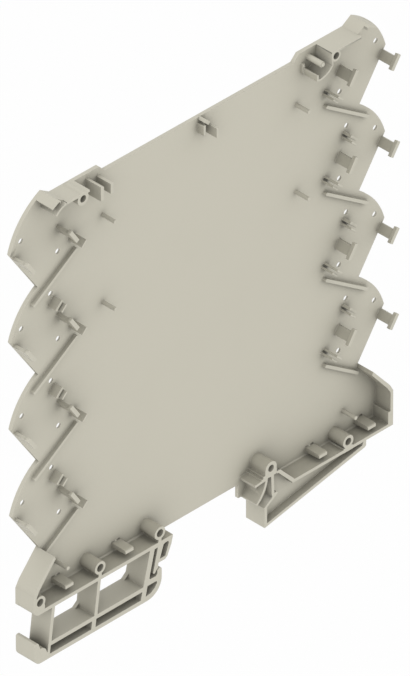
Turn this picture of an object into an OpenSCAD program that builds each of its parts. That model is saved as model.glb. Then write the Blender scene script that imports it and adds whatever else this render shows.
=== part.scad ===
// Side shell of a slim DIN rail electronics housing, moulded in one piece.
// A thin panel with a stair of four terminal steps on each side stands on two feet
// that grip a top-hat rail. Everything rises from the flat outer face towards the rim.
// X runs across the rail, Z up from the rail's flange, and the outer face lies at Y = 0.

/* [Panel] */
// Width over the step tips
panel_w = 120; // [112:1:130]
// Panel middle, measured from the rail's middle
panel_shift = 1.5; // [0:0.1:3]
// Thickness of the flat panel
panel_t = 1.05; // [0.8:0.05:1.5]
// Depth from the outer face to the rim
depth = 6.1; // [5.6:0.1:7.5]
// Height of the top step tips above the rail
tip_z = 103.2; // [103:0.1:110]
// Lower edge of the panel between the feet
panel_low = 3.85; // [3:0.05:4.5]
// Thickness of the rim walls
wall_t = 1; // [0.8:0.05:1.3]

/* [Steps] */
// Number of terminal steps on each side
steps = 4; // [2:1:4]
// Height of one step
pitch = 24; // [23:0.5:24]
// How far a notch cuts in behind the tips
notch_in = 8.5; // [7:0.1:10]
// How far a notch lies below its tip
notch_drop = 12.6; // [11.5:0.1:13.5]
// Radius of the curved upper edge of a step
step_r = 20; // [16:1:30]
// Height of the straight top edge above the top tips
top_rise = 9; // [8.6:0.1:10]
// Height of the two corner plateaus above the top tips
corner_rise = 10.8; // [10.5:0.1:12]
// Radius of the small through holes in the steps
step_hole_r = 0.65; // [0.4:0.05:0.9]

/* [Rail] */
// Width of the top-hat rail over its flanges
rail_w = 35; // [34.5:0.1:35.5]
// Gap between the rail's edge and the fixed stop
rail_gap = 0.1; // [0:0.05:0.3]
// How far the rail presses the spring finger back
finger_press = 0.7; // [0.2:0.1:0.9]
// Opening of the slot that takes the flange
flange_slot = 1.5; // [1.2:0.1:1.7]

/* [Feet] */
// Lowest edge of the left foot, below the rail's flange
foot_low = 8.9; // [8.5:0.1:10]
// Upper face of the left foot's floor wall
floor_z = 5.7; // [5.4:0.1:6]
// Bore of the latch bosses
bore_d = 2; // [1.4:0.1:2.2]
// Outer diameter of the latch bosses
boss_d = 3.4; // [3:0.1:3.8]
// Distance between the three bosses of the left foot
boss_pitch = 19.2; // [19:0.1:19.4]
// Height of the raised floor in the right foot
web_t = 4.15; // [3.5:0.05:4.8]

/* [Small parts] */
// Diameter of the slim locating pins
pin_d = 1; // [0.8:0.05:1.3]
// Distance of the pin tips from the outer face
pin_tip = 5.4; // [4.5:0.1:5.5]
// Height of the slanted ribs under the steps, above the panel
rib_h = 1.1; // [0.6:0.1:2]
// Thickness of the standing tab webs
tab_t = 0.85; // [0.7:0.05:1]
// Depth of the cross bar that ends each tab
tab_bar = 0.95; // [0.7:0.05:1.1]

/* [Hidden] */
$fn = 40;

half_w = panel_w / 2;
notch_x = half_w - notch_in;
top_z = tip_z + top_rise;
corner_z = tip_z + corner_rise;
apex = [half_w - 10.4, tip_z + 12.6];
last_tip_z = tip_z - (steps - 1) * pitch;
last_notch_z = last_tip_z - notch_drop;
rib_top = panel_t + rib_h;
bite = 0.3;            // how far a standing form is rooted in the panel

// outer face of the foot walls, measured from the panel's middle
foot_wall_x = half_w - 1.9;
foot_wall_bend = [foot_wall_x - 1.1, 12.2];
foot_wall_top = 10.3;

foot_wall_t = 0.85;

// faces that meet the rail
stop_x = rail_w / 2 + rail_gap;
finger_x = -rail_w / 2 + finger_press;
hook_x = finger_x + 1.1;
hook_r = 4.7;
nose_r = 0.75;

root_s = 0.3;          // size of the sloping roots
tongue_w = 2.6;
tongue_h = 1;
tongue_tip = depth - 0.4;
socket_floor = panel_t + 0.6;
board_pin_x = 31;

// Raises a flat drawing of X and Z from one depth to another, towards the rim.
module raise(from, to) {
    rotate([90, 0, 0]) translate([0, 0, from]) linear_extrude(to - from) children();
}

// Draws on both halves, with X measured outwards from the panel's middle.
module both_sides() {
    translate([panel_shift, 0]) {
        children();
        mirror([1, 0]) children();
    }
}

// Points of an arc from a to b that bulges to the left of that direction.
function arc(a, b, r, n = 10) =
    let (mid = (a + b) / 2, span = b - a, c = norm(span),
         out = [-span[1], span[0]] / c,
         centre = mid - out * sqrt(r * r - c * c / 4),
         start = atan2(a[1] - centre[1], a[0] - centre[0]),
         sweep = 2 * asin(c / 2 / r))
    [for (i = [0:n]) centre + r * [cos(start - sweep * i / n), sin(start - sweep * i / n)]];

// A straight strip of the given width from a to b.
module strip(a, b, width) {
    side = [a[1] - b[1], b[0] - a[0]] / norm(b - a) * width / 2;
    polygon([a + side, a - side, b - side, b + side]);
}

// A strip with round ends, a hair wider than the strip so that no face is tangent.
module round_strip(a, b, width) {
    strip(a, b, width);
    for (p = [a, b]) translate(p) circle(d = width + 0.04, $fn = 24);
}

// ---- panel ----

// Right half of the stepped outline, measured from the panel's middle.
module half_outline() {
    stairs = [for (i = [0:steps - 1])
        let (tip = [half_w, tip_z - i * pitch], notch = [notch_x, tip[1] - notch_drop],
             above = i == 0 ? apex : [notch_x, tip[1] + pitch - notch_drop])
        each concat(arc(above, tip, step_r, i == 0 ? 20 : 10), [notch])];
    polygon(concat(
        [[-1, floor_z], [-1, top_z], [half_w - 29.9, top_z], [half_w - 28.1, corner_z],
         [half_w - 13.2, corner_z], apex - [0.65, 0.45]],
        stairs,
        [foot_wall_bend, [foot_wall_x, foot_wall_top], [foot_wall_x, floor_z]]));
}

module panel() {
    raise(0, panel_t) {
        both_sides() half_outline();
        // between the feet it hangs a little lower
        translate([-12.6, panel_low]) square([27, floor_z - panel_low + 0.1]);
    }
}

// ---- what each step carries ----

// All of it is drawn for the right side, around the step's tip.
outer_tab = [[-0.75, -1.05], [-2.15, -3.1]];
inner_tab = [[-14.6, 1.3], [-16, -0.85]];
step_holes = [[-3.3, 2.5], [-14.9, -5.9]];
upper_hole = [-12.6, 7.6];
rib_ends = [[-19.8, -7.4], [-6.6, -16.3]];
last_rib_end = [-9.6, -14.3];
rib_w = 0.85;
leaf_gap = 0.38;

// A standing tab with a cross bar at the rim, like the letter T.
module tab(ends, inset) {
    along = (ends[1] - ends[0]) / norm(ends[1] - ends[0]);
    across = [along[1], -along[0]] * inset;
    a = ends[0] + across;
    b = ends[1] + across;
    raise(panel_t - bite, depth) strip(a, b, tab_t);
    raise(depth - tab_bar, depth) strip(a - along * 0.8, b + along * 0.8, tab_t + 0.2);
}

// A pair of thin leaves with a narrow slit that takes the edge of a circuit board.
module leaf_pair() {
    translate([-19.4, 0, -4.1]) {
        raise(panel_t - bite, depth - 0.6) translate([leaf_gap, leaf_gap]) leaf();
        raise(panel_t - bite, depth - 1.4) translate([-leaf_gap, -leaf_gap]) leaf();
    }
}

module leaf() {
    strip([-0.75, 0.75], [0.75, -0.75], 0.5);
}

// The same clip again, under the slanted rib of the step above, with a block behind it.
module lip_block() {
    translate([-13.2, 0, 5.1]) {
        raise(panel_t - bite, depth - 2.4) translate([leaf_gap, leaf_gap]) strip([-1, 1], [1, -1], 0.7);
        raise(panel_t - bite, depth - 1.6) translate([-leaf_gap, -leaf_gap]) leaf();
    }
}

module step_forms(i) {
    at = [half_w, tip_z - i * pitch];
    translate([at[0], 0, at[1]]) {
        tab(outer_tab, 0.3);
        tab(inner_tab, 0);
        leaf_pair();
        if (i > 0) lip_block();
        raise(panel_t - bite, rib_top)
            round_strip(rib_ends[0], i < steps - 1 ? rib_ends[1] : last_rib_end, rib_w);
    }
}

module side_forms() {
    for (i = [0:steps - 1]) step_forms(i);
}

module step_bores() {
    for (i = [0:steps - 1])
        translate([half_w, tip_z - i * pitch]) {
            for (p = step_holes) translate(p) circle(step_hole_r, $fn = 20);
            if (i > 0) translate(upper_hole) circle(step_hole_r, $fn = 20);
        }
}

// ---- plain pins and roots ----

// A pin that centres the matching shell.
module pin(at) {
    raise(panel_t - bite, pin_tip) translate(at) circle(d = pin_d, $fn = 24);
}

// A small sloping root where a shelf leaves the panel.
module root(from_x, to_x, z) {
    translate([from_x, 0, z]) rotate([0, 90, 0]) linear_extrude(to_x - from_x)
        polygon([[0, -panel_t + bite], [0, -panel_t - root_s], [-root_s, -panel_t],
                 [-root_s, -panel_t + bite]]);
}

// A snap tongue that reaches from the panel towards the rim over a foot's floor.
module tongue(x, z) {
    translate([x, 0, z]) rotate([0, 90, 0]) linear_extrude(tongue_w)
        polygon([[0, -panel_t + bite], [0, -tongue_tip + 0.5], [0.25, -tongue_tip],
                 [tongue_h, -tongue_tip], [tongue_h + 0.4, -panel_t + bite]]);
    root(x, x + tongue_w, z);
}

// ---- foot walls ----

// Cut-off shape of a curved wall that runs from the last notch down to the foot's floor.
module foot_wall(low) {
    outer = [[notch_x, last_notch_z], foot_wall_bend, [foot_wall_x, foot_wall_top],
             [foot_wall_x, low]];
    inner = [[foot_wall_x - foot_wall_t, low], [foot_wall_x - foot_wall_t, foot_wall_top - 0.4],
             foot_wall_bend - [foot_wall_t, 0.5], [notch_x - 0.4, last_notch_z - foot_wall_t]];
    raise(0, depth) polygon(concat(outer, inner));
}

// ---- left foot ----

boss_z = floor_z + boss_d / 2 + 0.65;
floor_low = floor_z - wall_t;
left_wall_x = panel_shift - foot_wall_x;
first_boss_x = left_wall_x + foot_wall_t + bore_d / 2 + 0.1;
corner_r = 1.75;
middle_rib_x = first_boss_x + boss_pitch - 0.75;
end_x = finger_x + 4.7;       // end of the foot, over the rail

// Outline of the frame under the left foot's floor, with the lug and the rail hook.
module left_frame_outline() {
    wx = left_wall_x;
    polygon([[wx + corner_r, floor_z + 0.4], [wx + corner_r, floor_low], [wx + 5.75, floor_low],
             [wx + 4.2, -6.9], [wx + 2.4, -6.4], [wx + 1.35, -3.25], [wx + 1, -2.9],
             [wx + 0.3, -2.9], [wx, -3.2], [wx, -foot_low + 2], [wx + 2, -foot_low],
             [hook_x - hook_r, -foot_low], [hook_x, -foot_low + hook_r],
             [hook_x, -flange_slot - nose_r], [hook_x - nose_r, -flange_slot],
             [finger_x, -flange_slot], [finger_x, 0], [finger_x + 2.2, 0], [finger_x + 2.9, 0.5],
             [end_x - 0.5, 3.3], [end_x, floor_z - 0.5], [end_x, floor_z],
             [first_boss_x, floor_z]]);
    translate([left_wall_x + 2, -foot_low + 2]) circle(2);
    translate([hook_x - hook_r, -foot_low + hook_r]) circle(hook_r);
    translate([hook_x - nose_r, -flange_slot - nose_r]) circle(nose_r, $fn = 24);
    translate([left_wall_x + corner_r, floor_low + corner_r]) circle(corner_r);
}

// The two large windows that go right through. Where they pass the thin panel,
// their far corner is cut off.
module windows(cut) {
    low = -4.45;
    wx = left_wall_x;
    rx = middle_rib_x;
    polygon([[wx + 6.7, floor_low], [rx, floor_low], [rx - 1.2 + cut / 4, low + cut],
             [rx - 1.2 - cut, low], [wx + 5.5, low]]);
    polygon([[rx + 0.95, floor_low], [finger_x - 2.65, floor_low],
             [finger_x - 4.85 + cut / 4, low + cut], [finger_x - 4.85 - cut, low],
             [rx - 0.2, low]]);
}

// The two long pockets under them and the two pockets beside the rail.
module frame_pockets() {
    high = -5.6;
    low = -foot_low + 1.15;
    wx = left_wall_x;
    rx = middle_rib_x;
    polygon([[wx + 5.25, high], [rx - 1.9, high], [rx - 2.2, low], [wx + 4.95, low]]);
    polygon([[rx - 0.55, high], [finger_x - 5.15, high], [finger_x - 5.7, low], [rx - 0.85, low]]);
    translate([finger_x, 0]) {
        polygon([[1.7, 4.3], [2.3, 4.6], [3.1, 4.6], [3.4, 4.2], [3.2, 3.4], [2.2, 0.9], [0.5, 0.9]]);
        polygon([[-3.5, -4.8], [-0.6, -4.8], [-0.4, -5.3], [-1.2, -6.4], [-2.4, -7.2], [-4.1, -7.5]]);
    }
}

// The slot that frees the spring finger and opens into the rail's notch below its tip.
module finger_slot() {
    translate([finger_x, 0])
        polygon([[-1.15, 4.4], [-2.9, -2.9], [-2.55, -3.3], [-0.8, -3.3], [-0.35, -2.9],
                 [-0.35, -flange_slot - 0.45], [0.1, -flange_slot + 0.05], [0.1, -1.15],
                 [-0.75, -1.8], [-1.1, -2.4], [-1.55, -2.35], [-1.7, -2], [-0.15, 4.4]]);
}

// One latch boss with the short leg that joins it to the wall under it.
module latch_boss(at, leg) {
    raise(panel_t - bite, depth) translate(at) {
        circle(d = boss_d);
        translate([-leg / 2, -boss_d / 2 - 0.9]) square([leg, 1.2]);
    }
}

module left_foot() {
    difference() {
        union() {
            raise(0, depth) left_frame_outline();
            for (i = [0:2]) latch_boss([first_boss_x + i * boss_pitch, boss_z], 1);
        }
        raise(-1, panel_t) windows(1.2);
        raise(panel_t - 0.01, depth + 1) windows(0);
        raise(-1, depth + 1) finger_slot();
        raise(panel_t, depth + 1) frame_pockets();
        for (i = [0:2]) raise(socket_floor, depth + 1)
            translate([first_boss_x + i * boss_pitch, boss_z]) circle(d = bore_d);
    }
    root(left_wall_x + 1, end_x, floor_z);
    for (x = [8.45, 27.7]) tongue(first_boss_x + x, floor_z + 2.55);
    pin([first_boss_x + 9.65, 12.4]);
}

// ---- right foot ----

// All of the catch and the arm is placed from the stop face.
arm_tip = 33.2;
arm_low = -7.7;
arm_rise = -1.15;
shelf_z = 0.5;
shelf_t = 0.85;
shelf_start = 9.2;
catch_boss = [2.1, 8.15];
catch_boss_r = 1.85;
right_wall_x = panel_shift + foot_wall_x;
foot_boss = [right_wall_x - 14.7, shelf_z + 2.55];

// The raised floor that carries the ribs of the catch and of the arm.
module catch_floor() {
    polygon([[-1, 5.8], [4.7, 6.2], [9.5, 1], [arm_tip, 1], [arm_tip, arm_rise], [0, arm_low],
             [0, 0], [-1, 0]]);
}

// The A-shaped ribs over the catch.
module catch_ribs() {
    leg = arc([0.35, 5.7], [-2.7, 0.35], 9, 8);
    leg_inner = arc([1.05, 5.4], [-2.4, -0.25], 9, 8);
    polygon(concat(leg, [for (i = [len(leg_inner) - 1:-1:0]) leg_inner[i]]));
    strip([-3.1, 5.45], [0.7, 5.85], 0.7);
    polygon([[-1, 5.6], [-1, 6.25], [-0.4, 6.3], [-0.4, 6.9], [0.2, 6.95], [0.2, 7.6], [1.1, 7.6],
             [1.1, 5.6]]);
    strip([2.55, 6], [2.75, 0.6], 0.9);
    strip([2.4, 0.35], [4, 0.35], 0.7);
    strip([4.1, 0.55], [0, -2.35], 0.75);
    translate(catch_boss) circle(catch_boss_r);
    translate([catch_boss[0] - catch_boss_r, 5.9])
        square([2 * catch_boss_r - 0.01, catch_boss[1] - 5.9]);
}

// The tapering arm, open towards the rim.
module arm_ribs() {
    polygon([[0, arm_low], [arm_tip - 0.4, arm_rise - 0.1], [arm_tip, arm_rise + 0.3], [arm_tip, 0.6],
             [arm_tip - 0.8, 0.6], [arm_tip - 1.5, arm_rise + 0.75], [0.85, arm_low + 1], [0.85, -1.8],
             [0, -2.35]]);
}

module right_shelf() {
    strip([stop_x + 4, 6.05], [stop_x + 4.9, 6.05], 0.75);
    strip([stop_x + 4.7, 6.1], [stop_x + 9.4, 1.1], 0.9);
    translate([stop_x + 9, shelf_z]) square([right_wall_x - stop_x - 9, shelf_t]);
    translate([right_wall_x - 1.6, shelf_z]) square([1.6, 4.2]);
}

module right_foot() {
    difference() {
        union() {
            raise(0, panel_t) polygon([[stop_x - 3.55, panel_low + 1], [stop_x - 3.55, 0],
                                       [stop_x + 1, 0], [stop_x + 1, shelf_z],
                                       [right_wall_x, shelf_z], [right_wall_x, floor_z + 0.1],
                                       [stop_x - 3.55, floor_z + 0.1]]);
            translate([stop_x, 0, 0]) {
                raise(0, web_t) catch_floor();
                raise(panel_t - bite, depth) catch_ribs();
                raise(0, depth) arm_ribs();
            }
            raise(panel_t - bite, depth) right_shelf();
            latch_boss(foot_boss, boss_d - 0.4);
        }
        translate([stop_x, 0, 0]) raise(web_t, depth + 1) translate(catch_boss)
            circle(d = bore_d - 0.2);
        raise(socket_floor, depth + 1) translate(foot_boss) circle(d = bore_d - 0.1);
    }
    root(stop_x + 9.6, right_wall_x - 1, shelf_z + shelf_t);
    for (x = [-9.1, 6.85]) tongue(foot_boss[0] + x, shelf_z + 3);
    pin([foot_boss[0] + 3.2, 7.7]);
}

// ---- top ----

plate_x = half_w - 13.2;      // where the corner's plateau begins
corner_wall_t = 0.6;

// Wall on the corner's plateau, and a tab that follows the first stretch of the top arc.
// A step in the slope between them stays lower than the rim.
module corner_wall(from_x) {
    t = corner_wall_t;
    edge = arc(apex, [half_w, tip_z], step_r, 20);
    tab = [for (i = [0:3]) edge[i]];
    inner = [for (i = [3:-1:0]) edge[i] - [0.3, 0.52]];
    foot = apex - [0.65, 0.45];
    raise(0, depth) {
        polygon([[from_x, corner_z], [plate_x + 0.2, corner_z], [plate_x + 0.2, corner_z - t],
                 [from_x, corner_z - t]]);
        polygon(concat([foot], tab, inner, [foot - [0, t + 0.2]]));
    }
    raise(0, depth - 1.1)
        polygon([[plate_x, corner_z], foot, apex, apex - [0, t + 0.2], foot - [0, t + 0.2],
                 [plate_x + 0.4, corner_z - t], [plate_x, corner_z - t]]);
}

module top_boss(r) {
    difference() {
        raise(panel_t - bite, depth) circle(r);
        raise(socket_floor, depth + 1) circle(0.9);
    }
}

// A thin wall along the points of a line.
module fence(line, width) {
    for (i = [0:len(line) - 2]) strip(line[i], line[i + 1], width);
    for (i = [1:len(line) - 2]) translate(line[i]) circle(d = width, $fn = 12);
}

// What hangs under each top corner is placed from its boss.
module top_left() {
    translate([panel_shift, 0, 0]) mirror([1, 0, 0]) corner_wall(half_w - 20.2);
    translate([panel_shift - half_w + 18.1, 0, corner_z - 1.5]) {
        top_boss(1.75);
        raise(panel_t - bite, depth) {
            fence([[-5.2, 1.2], [-6.4, 0.9], [-7.6, 0.2], [-8.4, -0.7]], 0.6);
            polygon([[5.6, -3.5], [6.6, -3.5], [6.6, 0.1], [5.6, 0.4]]);
        }
        raise(panel_t - bite, depth - 0.3) translate([9, -3.2]) square([0.85, 2.7]);
    }
}

module top_right() {
    translate([panel_shift, 0, 0]) corner_wall(half_w - 22.5);
    translate([panel_shift + half_w - 21.1, 0, corner_z - 1.5]) {
        top_boss(1.45);
        raise(panel_t - bite, depth)
            fence([[-1.3, 1.2], [-1.25, -2.1], [-2.1, -3.1], [-3.4, -3.8], [-4.9, -4.15],
                   [-5.9, -4.05], [-5.9, -2.5]], 0.5);
        raise(panel_t - bite, panel_t + 0.7) translate([-6.4, -4.1]) square([0.8, 2.6]);
        raise(panel_t - bite, depth - 0.5) translate([-4, -0.7]) circle(d = 1.5);
        raise(depth - 0.6, depth - 0.2) translate([-4, -0.7]) circle(d = 1);
    }
}

// A post with a small clip beside it, under the middle of the top edge.
module top_middle() {
    translate([0.8, 0, top_z - 4]) {
        raise(panel_t - bite, depth - 1.3) translate([2.5, -1]) square([0.65, 2.6]);
        raise(panel_t - bite, panel_t + 2.1) square([0.7, 2.6]);
        raise(panel_t - bite, panel_t + 1.8) strip([0.5, 3.85], [2.1, 2.3], 0.9);
    }
}

// ---- shell ----

module side_shell() color([0.78, 0.76, 0.70]) {
    difference() {
        panel();
        raise(-1, panel_t + 1) both_sides() step_bores();
    }
    for (s = [0, 1]) translate([panel_shift, 0, 0]) mirror([s, 0, 0]) {
        side_forms();
        foot_wall(s == 0 ? shelf_z : floor_low + corner_r);
    }
    left_foot();
    right_foot();
    top_left();
    top_right();
    top_middle();
    for (s = [-1, 1], i = [0, 1]) pin([panel_shift + s * board_pin_x, tip_z - 2.7 - i * pitch]);
}

side_shell();
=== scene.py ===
# %% [markdown]
# A side shell for a slim DIN rail housing
#
# The real thing is one injection-moulded piece of light grey plastic. Every wall, rib, boss and
# tongue belongs to the same solid, so the frame holds one node. This script keeps that node's
# shape, widens its small holes from behind, softens its edges as a mould does, gives it a satin
# plastic finish, and sets up a camera, a white floor and plain studio light. All lengths are in
# metres, apart from the lens's focal length, which Blender wants in millimetres.

# %% Load the frame
import itertools
import math

import bmesh
import bpy
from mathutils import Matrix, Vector
from mathutils.geometry import intersect_point_line
from mathutils.kdtree import KDTree


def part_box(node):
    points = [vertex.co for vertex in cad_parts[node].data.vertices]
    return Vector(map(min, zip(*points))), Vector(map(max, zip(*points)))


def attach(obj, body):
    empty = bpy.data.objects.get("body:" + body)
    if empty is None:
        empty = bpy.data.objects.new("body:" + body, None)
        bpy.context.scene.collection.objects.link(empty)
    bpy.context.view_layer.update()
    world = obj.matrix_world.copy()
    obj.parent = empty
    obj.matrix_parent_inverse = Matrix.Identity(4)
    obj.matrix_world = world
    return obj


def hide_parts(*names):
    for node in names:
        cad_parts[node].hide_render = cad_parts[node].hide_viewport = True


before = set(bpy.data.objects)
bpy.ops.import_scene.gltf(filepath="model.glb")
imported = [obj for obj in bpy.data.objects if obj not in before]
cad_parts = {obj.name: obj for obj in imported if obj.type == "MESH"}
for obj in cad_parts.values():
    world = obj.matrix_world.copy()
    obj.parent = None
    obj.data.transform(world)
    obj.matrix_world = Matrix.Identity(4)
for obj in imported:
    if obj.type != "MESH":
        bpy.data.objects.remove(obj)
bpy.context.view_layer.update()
SHELL = "side_shell"
low_corner, high_corner = (Vector(corner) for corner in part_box(SHELL))
print("frame holds", list(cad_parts), "from", low_corner[:], "to", high_corner[:])

# %% [markdown]
# The camera
#
# Product views of such housings are nearly isometric: the viewer stands far off to the hooked
# foot's side, turned by an eighth of a turn and raised by 35 degrees. A very long lens from a few
# metres away keeps parallel edges parallel, as an orthographic camera would, and still lets the
# view be turned round the part.

# %% Camera
AZIMUTH, ELEVATION = math.radians(45.0), math.radians(35.0)
LENS = 1045.0
DISTANCE = 4.4645
AIM = Vector((0.00147, -0.00286, 0.05206))
FAR_CLIP = 20.0

camera_data = bpy.data.cameras.new("camera")
camera_data.lens = LENS
camera_data.clip_end = FAR_CLIP
camera = bpy.data.objects.new("camera", camera_data)
bpy.context.scene.collection.objects.link(camera)
away = Vector((-math.sin(AZIMUTH) * math.cos(ELEVATION), -math.cos(AZIMUTH) * math.cos(ELEVATION),
               math.sin(ELEVATION)))
camera.location = AIM + away * DISTANCE
camera.rotation_euler = (-away).to_track_quat("-Z", "Y").to_euler()
bpy.context.scene.camera = camera
print("camera at", [round(v, 3) for v in camera.location])

# %% [markdown]
# The shell
#
# The solid from the frame has knife-sharp edges, and no moulding has those: a cutter leaves a
# small radius in the mould, and it catches a thin line of light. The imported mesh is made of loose
# triangles, so a copy is merged first. Later, flat faces are joined again, because a bevel needs
# clean edges to follow.

# %% Copy and merge the solid
MERGE_DISTANCE = 0.00001
FLAT_ANGLE = math.radians(0.3)


def activate(obj):
    bpy.ops.object.select_all(action="DESELECT")
    obj.select_set(True)
    bpy.context.view_layer.objects.active = obj


def edit(obj, work):
    activate(obj)
    bpy.ops.object.mode_set(mode="EDIT")
    bpy.ops.mesh.select_mode(type="VERT")
    bpy.ops.mesh.select_all(action="SELECT")
    work()
    bpy.ops.object.mode_set(mode="OBJECT")


def merge():
    bpy.ops.mesh.remove_doubles(threshold=MERGE_DISTANCE)


def flatten():
    merge()
    bpy.ops.mesh.dissolve_limited(angle_limit=FLAT_ANGLE)


cad_shell = bpy.data.objects[SHELL]
shell = cad_shell.copy()
shell.data = cad_shell.data.copy()
shell.name = shell.data.name = "moulded_shell"
bpy.context.scene.collection.objects.link(shell)
edit(shell, merge)
print("merged shell:", len(shell.data.vertices), "points")

# %% [markdown]
# The small holes in the steps
#
# Pins of the mould come through the panel near each step's tip and clips. Their holes let light
# through even when they are looked at from the side, so they must widen towards the outer face.
# A hole could be widened by moving the points of its rim, but long thin triangles end there and
# would fold over. So one cone is made and copied to every hole, and all are cut away in one
# Boolean, while the solid is still made of triangles. Each hole is given by how far it lies
# inwards from its step's tip, and how far above it. The top step has no upper hole.

# %% Widen the holes from behind
TIP_HEIGHT = 0.1032
PITCH = 0.024
STEPS = 4
HOLES = ((0.0033, 0.0025), (0.0149, -0.0059))
UPPER_HOLE = (0.0126, 0.0076)
CONE_WIDE, CONE_NARROW, CONE_LENGTH = 0.0014, 0.0006, 0.0009
CONE_MIDDLE = (0, -0.0004, 0)
CONE_SIDES = 32


def hole_spots():
    spots = []
    for step in range(STEPS):
        tip = TIP_HEIGHT - step * PITCH
        for inset, rise in HOLES + ((UPPER_HOLE,) if step else ()):
            spots += [(low_corner.x + inset, tip + rise), (high_corner.x - inset, tip + rise)]
    return spots


bpy.ops.object.select_all(action="DESELECT")
bpy.ops.mesh.primitive_cone_add(vertices=CONE_SIDES, radius1=CONE_WIDE, radius2=CONE_NARROW,
                                depth=CONE_LENGTH, location=CONE_MIDDLE,
                                rotation=(math.radians(90), 0, 0))
cone = bpy.context.object
cones = []
for x, z in hole_spots():
    copy = cone.copy()
    copy.data = cone.data.copy()
    copy.location.x, copy.location.z = x, z
    bpy.context.scene.collection.objects.link(copy)
    cones.append(copy)
bpy.data.objects.remove(cone)
activate(cones[0])
for copy in cones:
    copy.select_set(True)
bpy.ops.object.join()
cutter = bpy.context.object
widen = shell.modifiers.new("widened holes", "BOOLEAN")
widen.operation = "DIFFERENCE"
widen.solver = "EXACT"
widen.object = cutter
activate(shell)
bpy.ops.object.modifier_apply(modifier=widen.name)
bpy.data.objects.remove(cutter)
edit(shell, flatten)
print("holes widened:", len(cones), "shell now", len(shell.data.polygons), "faces")

# %% [markdown]
# Where an edge may be rounded
#
# A bevel folds over itself where two edges run closer together than its own width, or meet at a
# sharp point. Clamping it would shrink it everywhere, because one tight spot sets the width for the
# whole mesh. So the sharp edges are listed first, and each one that has no room beside it, or that
# meets a longer one at a small angle, is left as it is. The rest get a bevel weight of 1. To find
# the room, points are laid along every sharp edge, and the points of other edges are looked for
# round each of them. One that lies mostly ahead belongs to an edge that runs on, and doesn't count.

# %% Choose the edges to round
EDGE_ROUND = 0.00007
ROOM = 0.00022
SHARP_ANGLE = math.radians(32)
CLOSE_ANGLE = math.radians(60)
PROBE_STEP = 0.00015
BESIDE = 0.75


def probes(edge):
    start, end = edge.verts[0].co, edge.verts[1].co
    count = max(1, int(edge.calc_length() / PROBE_STEP))
    return [start.lerp(end, (step + 0.5) / count) for step in range(count)]


def crowded(edges):
    spots = [(point, edge) for edge in edges for point in probes(edge)]
    tree = KDTree(len(spots))
    for number, (point, edge) in enumerate(spots):
        tree.insert(point, number)
    tree.balance()
    found = set()
    for point, edge in spots:
        along = (edge.verts[1].co - edge.verts[0].co).normalized()
        for near, number, distance in tree.find_range(point, ROOM):
            other = spots[number][1]
            if set(other.verts) & set(edge.verts):
                continue
            offset = near - point
            if (offset - along * offset.dot(along)).length > BESIDE * distance:
                found.add(edge)
    return found


def narrow_corners(mesh, edges):
    found = set()
    for corner in mesh.verts:
        meeting = [edge for edge in corner.link_edges if edge in edges]
        for first, second in itertools.combinations(meeting, 2):
            arms = [edge.other_vert(corner).co - corner.co for edge in (first, second)]
            if arms[0].angle(arms[1]) < CLOSE_ANGLE:
                found.add(min((first, second), key=lambda edge: edge.calc_length()))
    return found


def mark_edges(data):
    mesh = bmesh.new()
    mesh.from_mesh(data)
    edges = {edge for edge in mesh.edges if edge.is_manifold and edge.calc_face_angle() > SHARP_ANGLE}
    left = crowded(sorted(edges, key=lambda edge: edge.index)) | narrow_corners(mesh, edges)
    weights = data.attributes.new("bevel_weight_edge", "FLOAT", "EDGE")
    for edge in edges - left:
        weights.data[edge.index].value = 1.0
    print("sharp edges:", len(edges), "of which", len(left), "have no room for a radius")
    mesh.free()


mark_edges(shell.data)

# %% [markdown]
# Round, look, and round again
#
# A few corners still fold over, where a rounded edge runs into a sharp one. They can be found
# afterwards: inside a flat face, a triangle that points the other way is a fold. The edges beside
# it are left sharp too, and the bevel is made again from the unrounded mesh, until none is left.

# %% Round them
ROUND_STEPS = 2
FOLD_AREA = 1e-11
FOLD_REACH = 0.0002
TRIES = 5


def fold_spots(data):
    data.calc_loop_triangles()
    spots = []
    for piece in data.loop_triangles:
        turned = piece.normal.dot(data.polygons[piece.polygon_index].normal) < 0
        if turned and piece.area > FOLD_AREA:
            spots += [data.vertices[number].co.copy() for number in piece.vertices]
    return spots


def gap(spot, start, end):
    along = intersect_point_line(spot, start, end)[1]
    return (start.lerp(end, min(max(along, 0.0), 1.0)) - spot).length


def leave_sharp(data, spots):
    weights = data.attributes["bevel_weight_edge"].data
    for edge in data.edges:
        if not weights[edge.index].value:
            continue
        start, end = (data.vertices[number].co for number in edge.vertices)
        if any(gap(spot, start, end) < FOLD_REACH for spot in spots):
            weights[edge.index].value = 0.0


def round_edges():
    bevel = shell.modifiers.new("edge radius", "BEVEL")
    bevel.width = EDGE_ROUND
    bevel.segments = ROUND_STEPS
    bevel.limit_method = "WEIGHT"
    bevel.use_clamp_overlap = False
    bevel.loop_slide = False
    bevel.miter_outer = "MITER_SHARP"
    activate(shell)
    bpy.ops.object.modifier_apply(modifier=bevel.name)


unrounded = shell.data
for attempt in range(TRIES):
    shell.data = unrounded.copy()
    round_edges()
    folds = fold_spots(shell.data)
    print("rounding", attempt + 1, "leaves", len(folds) // 3, "folded triangles")
    if not folds:
        break
    leave_sharp(unrounded, folds)
bpy.data.meshes.remove(unrounded)
shell.data.name = shell.name

# %% [markdown]
# Smooth rounds, flat faces
#
# Smooth shading bends the light over the rounded edges and the bosses, but it also bends it over
# the flat faces beside them, which then look dented. The Weighted Normal modifier lets the
# largest face at each corner decide, so flat stays flat.

# %% Shade it
SMOOTH_ANGLE = math.radians(50)
LARGEST_FACE = 100

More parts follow.
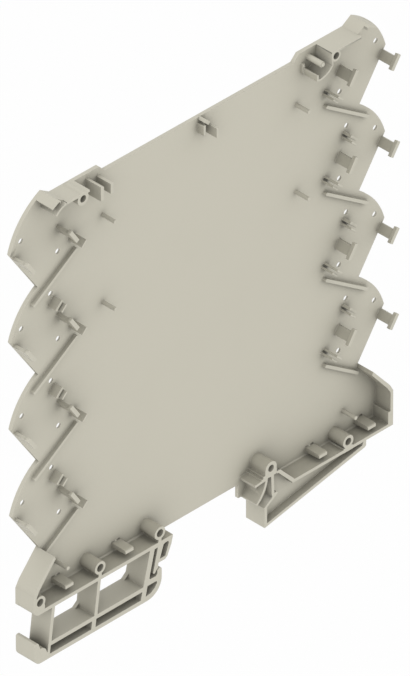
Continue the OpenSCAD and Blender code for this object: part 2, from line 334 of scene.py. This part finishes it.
bpy.ops.object.shade_smooth_by_angle(angle=SMOOTH_ANGLE)
even = shell.modifiers.new("flat faces", "WEIGHTED_NORMAL")
even.mode = "FACE_AREA"
even.weight = LARGEST_FACE
even.keep_sharp = True
bpy.ops.object.modifier_apply(modifier=even.name)
print("rounded shell:", len(shell.data.polygons), "faces")

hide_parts(SHELL)
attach(shell, "root")

# %% [markdown]
# Sums in a material
#
# A material is a graph of nodes, and sums that are wired by hand are slow to read. This small
# class wraps one output socket, so that ordinary Python sums add the Math nodes by themselves. Any
# other node comes from its one method, which takes the node's type, its settings, and the values
# or links of its sockets.

# %% Node helper


class Value:
    def __init__(self, tree, socket):
        self.tree = tree
        self.socket = socket

    def node(self, kind, settings=None, inputs=None, output=0):
        made = self.tree.nodes.new(kind)
        for name, value in (settings or {}).items():
            setattr(made, name, value)
        for name, value in (inputs or {}).items():
            if isinstance(value, Value):
                self.tree.links.new(value.socket, made.inputs[name])
            else:
                made.inputs[name].default_value = value
        return Value(self.tree, made.outputs[output])

    def sum(self, operation, first, second):
        return self.node("ShaderNodeMath", {"operation": operation}, {0: first, 1: second})

    def __add__(self, other):
        return self.sum("ADD", self, other)

    def __radd__(self, other):
        return self.sum("ADD", other, self)

    def __sub__(self, other):
        return self.sum("SUBTRACT", self, other)

    def __rsub__(self, other):
        return self.sum("SUBTRACT", other, self)

    def __mul__(self, other):
        return self.sum("MULTIPLY", self, other)

    def __rmul__(self, other):
        return self.sum("MULTIPLY", other, self)


# %% [markdown]
# The plastic
#
# The housing is moulded in a light warm grey, fine-textured plastic. Shade is painted into its
# colour: deep in its pockets, between its ribs and along the roots of its tabs the colour is
# darker, and a painted highlight makes its outer edges slightly paler. These places could be
# painted by hand, but Ambient Occlusion nodes find them all: a wide one finds the hollows, a narrow
# one the roots, and one that looks inwards the edges. Noise on the object's own coordinates adds a
# slight drift of colour, and the fine grain that a spark-eroded mould leaves.

# %% Plastic finish, with painted shade and painted highlight
PLASTIC = (0.590, 0.565, 0.472, 1.0)
# Painted shade: the colour towards which the hollows and the roots of the tabs are darkened.
PLASTIC_PAINTED_SHADE = (0.236, 0.226, 0.189, 1.0)
# Painted highlight: the paler colour given to the outer edges.
PLASTIC_PAINTED_HIGHLIGHT = (0.66, 0.64, 0.55, 1.0)
# How far the painted shade looks for hollows and roots, and how strongly it darkens them.
HOLLOW_SHADE_REACH, HOLLOW_PAINTED_SHADE = 0.03, 1.17
ROOT_SHADE_REACH, ROOT_PAINTED_SHADE = 0.0018, 0.36
# How far the painted highlight looks for outer edges, and how strongly it pales them.
EDGE_HIGHLIGHT_REACH, EDGE_PAINTED_HIGHLIGHT = 0.0004, 0.32
OCCLUSION_SAMPLES = 8
DRIFT_SCALE, DRIFT_DETAIL, DRIFT_SHADE, DRIFT_ROUGH = 45.0, 3.0, 0.06, 0.1
GRAIN_SCALE, GRAIN_DETAIL, GRAIN_ROUGH = 5200.0, 2.0, 0.06
GRAIN_BUMP, GRAIN_DEPTH = 0.12, 0.00004
ROUGHNESS, GLOSS, REFRACTION = 0.5, 0.35, 1.49
MIX_FACTOR, MIX_FIRST, MIX_SECOND, MIX_RESULT = 0, 6, 7, 2


def occlusion(place, reach, inside=False):
    settings = {"samples": OCCLUSION_SAMPLES, "inside": inside}
    return 1.0 - place.node("ShaderNodeAmbientOcclusion", settings, {"Distance": reach}, output="AO")


def noise(place, scale, detail):
    return place.node("ShaderNodeTexNoise", inputs={"Vector": place, "Scale": scale, "Detail": detail})


def mix_colour(factor, first, second):
    return factor.node("ShaderNodeMix", {"data_type": "RGBA", "clamp_factor": True},
                       {MIX_FACTOR: factor, MIX_FIRST: first, MIX_SECOND: second}, MIX_RESULT)


def housing_plastic():
    material = bpy.data.materials.new("housing_plastic")
    material.use_nodes = True
    tree = material.node_tree
    shader = tree.nodes["Principled BSDF"]
    place = Value(tree, tree.nodes.new("ShaderNodeTexCoord").outputs["Object"])

    drift = noise(place, DRIFT_SCALE, DRIFT_DETAIL)
    grain = noise(place, GRAIN_SCALE, GRAIN_DETAIL)
    # Painted shade in the hollows and at the roots, found by occlusion.
    hollow_shade = occlusion(place, HOLLOW_SHADE_REACH)
    root = occlusion(place, ROOT_SHADE_REACH)
    # Painted highlight: occlusion looking inwards finds the outer edges, which are made paler.
    edge = occlusion(place, EDGE_HIGHLIGHT_REACH, inside=True)

    # The painted shade, with a slight random drift of tone, darkens the colour.
    painted_shade_and_drift = hollow_shade * HOLLOW_PAINTED_SHADE + root * ROOT_PAINTED_SHADE + (drift - 0.5) * DRIFT_SHADE
    # The painted highlight pales the plastic along its outer edges.
    skin_with_painted_highlight = mix_colour(edge * EDGE_PAINTED_HIGHLIGHT, PLASTIC, PLASTIC_PAINTED_HIGHLIGHT)
    colour = mix_colour(painted_shade_and_drift, skin_with_painted_highlight, PLASTIC_PAINTED_SHADE)
    rough = ROUGHNESS + drift * DRIFT_ROUGH + grain * GRAIN_ROUGH
    bump = grain.node("ShaderNodeBump",
                      inputs={"Strength": GRAIN_BUMP, "Distance": GRAIN_DEPTH, "Height": grain})

    tree.links.new(colour.socket, shader.inputs["Base Color"])
    tree.links.new(rough.socket, shader.inputs["Roughness"])
    tree.links.new(bump.socket, shader.inputs["Normal"])
    shader.inputs["IOR"].default_value = REFRACTION
    shader.inputs["Specular IOR Level"].default_value = GLOSS
    return material


plastic = housing_plastic()
shell.data.materials.clear()
shell.data.materials.append(plastic)
for slot in cad_shell.material_slots:
    slot.material = plastic
print("finish:", plastic.name, len(plastic.node_tree.nodes), "nodes")

# %% [markdown]
# Floor
#
# Catalogue views stand on pure white. More light would make the ground white, but it would bleach
# the part too. So a Light Path node tells the rays that see the ground, straight or in a
# reflection, from those that carry light: the first find white, and the others find a plain pale
# floor and an even grey world. A little of the lit floor is kept in what is seen, and with it the
# part's faint shadow. From below, the floor is clear.

# %% Floor
FLOOR_DROP = 0.16
FLOOR_SIZE = 12.0
FLOOR_PALE = (0.8, 0.8, 0.8, 1.0)
WHITE = (1.0, 1.0, 1.0, 1.0)
WHITE_SEEN = 0.97


def background_seen(tree):
    path = tree.nodes.new("ShaderNodeLightPath")
    straight, glossy, through = (Value(tree, path.outputs[name]) for name in
                                 ("Is Camera Ray", "Is Glossy Ray", "Is Transmission Ray"))
    return straight.sum("MAXIMUM", straight, straight.sum("MAXIMUM", glossy, through))


def white_floor():
    material = bpy.data.materials.new("floor_white")
    material.use_nodes = True
    tree = material.node_tree
    tree.nodes.clear()
    seen = background_seen(tree)
    lit = seen.node("ShaderNodeBsdfDiffuse", inputs={"Color": FLOOR_PALE}, output="BSDF")
    glow = seen.node("ShaderNodeEmission", inputs={"Color": WHITE, "Strength": 1.0}, output="Emission")
    above = seen.node("ShaderNodeMixShader", inputs={0: seen * WHITE_SEEN, 1: lit, 2: glow})
    clear = seen.node("ShaderNodeBsdfTransparent", output="BSDF")
    below = seen.node("ShaderNodeNewGeometry", output="Backfacing")
    mixed = seen.node("ShaderNodeMixShader", inputs={0: below, 1: above, 2: clear})
    output = tree.nodes.new("ShaderNodeOutputMaterial")
    tree.links.new(mixed.socket, output.inputs["Surface"])
    return material


floor_height = low_corner.z - FLOOR_DROP
bpy.ops.object.select_all(action="DESELECT")
bpy.ops.mesh.primitive_plane_add(size=FLOOR_SIZE, location=(0, 0, floor_height))
floor = bpy.context.object
floor.name = "floor"
floor.data.materials.append(white_floor())
print("floor at", round(floor_height, 3))

# %% [markdown]
# Light
#
# A small part on a table is lit from all around, and its hollows tell its shape. The world gives
# that even light. A broad key light from the front left and above makes the left faces a little
# brighter, and a weak fill from the front right keeps the ribs' shaded sides from turning dull.
# Sizes are diameters, and powers are in watts.

# %% Light
DAYLIGHT = 0.85
KEY_OFFSET, KEY_SIZE, KEY_POWER = Vector((-0.9, -0.75, 0.65)), 0.7, 3.1
FILL_OFFSET, FILL_SIZE, FILL_POWER = Vector((0.4, -1.2, 0.4)), 0.9, 1.0

world = bpy.context.scene.world or bpy.data.worlds.new("studio")
bpy.context.scene.world = world
world.use_nodes = True
sky = world.node_tree
seen = background_seen(sky)
strength = seen * (1.0 - DAYLIGHT) + DAYLIGHT
sky.links.new(strength.socket, sky.nodes["Background"].inputs["Strength"])
sky.nodes["Background"].inputs["Color"].default_value = WHITE


def area_light(name, offset, size, power):
    middle = (low_corner + high_corner) / 2
    data = bpy.data.lights.new(name, "AREA")
    data.shape = "DISK"
    data.size = size
    data.energy = power
    light = bpy.data.objects.new(name, data)
    bpy.context.scene.collection.objects.link(light)
    light.location = middle + offset
    light.rotation_euler = (-offset).to_track_quat("-Z", "Y").to_euler()


area_light("key", KEY_OFFSET, KEY_SIZE, KEY_POWER)
area_light("fill", FILL_OFFSET, FILL_SIZE, FILL_POWER)
bpy.context.scene.view_settings.view_transform = "Standard"
